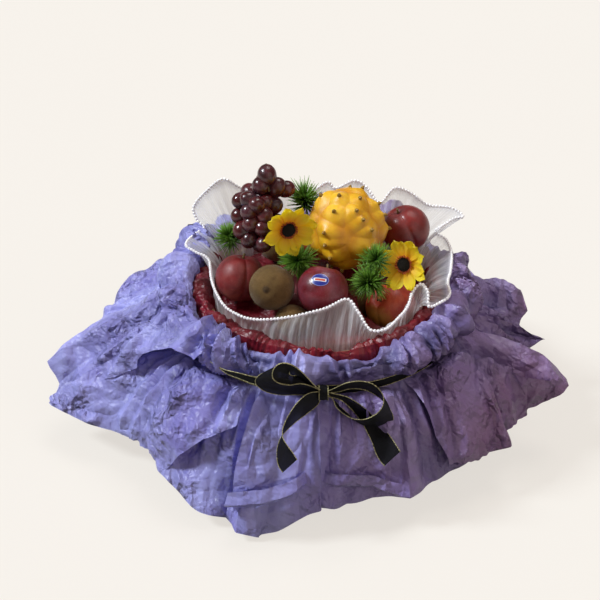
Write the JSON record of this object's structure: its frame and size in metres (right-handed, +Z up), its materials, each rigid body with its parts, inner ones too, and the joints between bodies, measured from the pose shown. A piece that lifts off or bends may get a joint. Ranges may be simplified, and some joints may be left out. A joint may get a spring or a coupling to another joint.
{
  "type": "fruit hatbox",
  "caption": "Round gift box wrapped in gathered lilac tissue paper, with a tulle ruffle and a bow, filled with whole fruit, two artificial daisies and fir sprigs.",
  "frame": {"origin": "centre of the hatbox's flat base, on the surface it stands on", "axes": "+Z up along the box's axis, +X to the right as seen from the bow, the bow and the lowest hem face -Y"},
  "size_m": [0.6005, 0.4979, 0.3172],
  "materials": {
    "kraft_board": "plain kraft board",
    "lilac_tissue": "crumpled lilac tissue paper",
    "wine_tissue": "crumpled dark red tissue paper",
    "white_tulle": "sheer white tulle",
    "white_pearl": "pearl white beads",
    "yellow_rind": "waxy yellow rind",
    "kiwi_skin": "brown furry skin",
    "plum_skin": "smooth purple red skin",
    "dark_plum_skin": "smooth dark skin with bloom",
    "nectarine_skin": "smooth red skin",
    "grape_skin": "dark red grape skin",
    "yellow_petal": "yellow cloth petals",
    "dark_eye": "dark brown flock",
    "fir_green": "green plastic needles",
    "black_organza": "sheer black organza with gold wire edges"
  },
  "bodies": {
    "root": {"hatbox": "kraft_board", "lilac_wrap": "lilac_tissue", "red_tissue": "wine_tissue", "tulle_ruffle": "white_tulle", "pearl_strand": "white_pearl", "dragon_fruit": "yellow_rind", "kiwi_front": "kiwi_skin", "kiwi_low": "kiwi_skin", "kiwi_shade": "kiwi_skin", "kiwi_back": "kiwi_skin", "plum_front": "plum_skin", "plum_back": "dark_plum_skin", "plum_far": "dark_plum_skin", "nectarine_left": "nectarine_skin", "nectarine_right": "nectarine_skin", "nectarine_back": "nectarine_skin", "grape_bunch": "grape_skin", "flower_left_petals": "yellow_petal", "flower_left_eye": "dark_eye", "flower_right_petals": "yellow_petal", "flower_right_eye": "dark_eye", "sprig_left": "fir_green", "sprig_back": "fir_green", "sprig_centre": "fir_green", "sprig_right_front": "fir_green", "sprig_right_back": "fir_green", "ribbon_band": "black_organza", "ribbon_bow": "black_organza"}
  },
  "joints": []
}
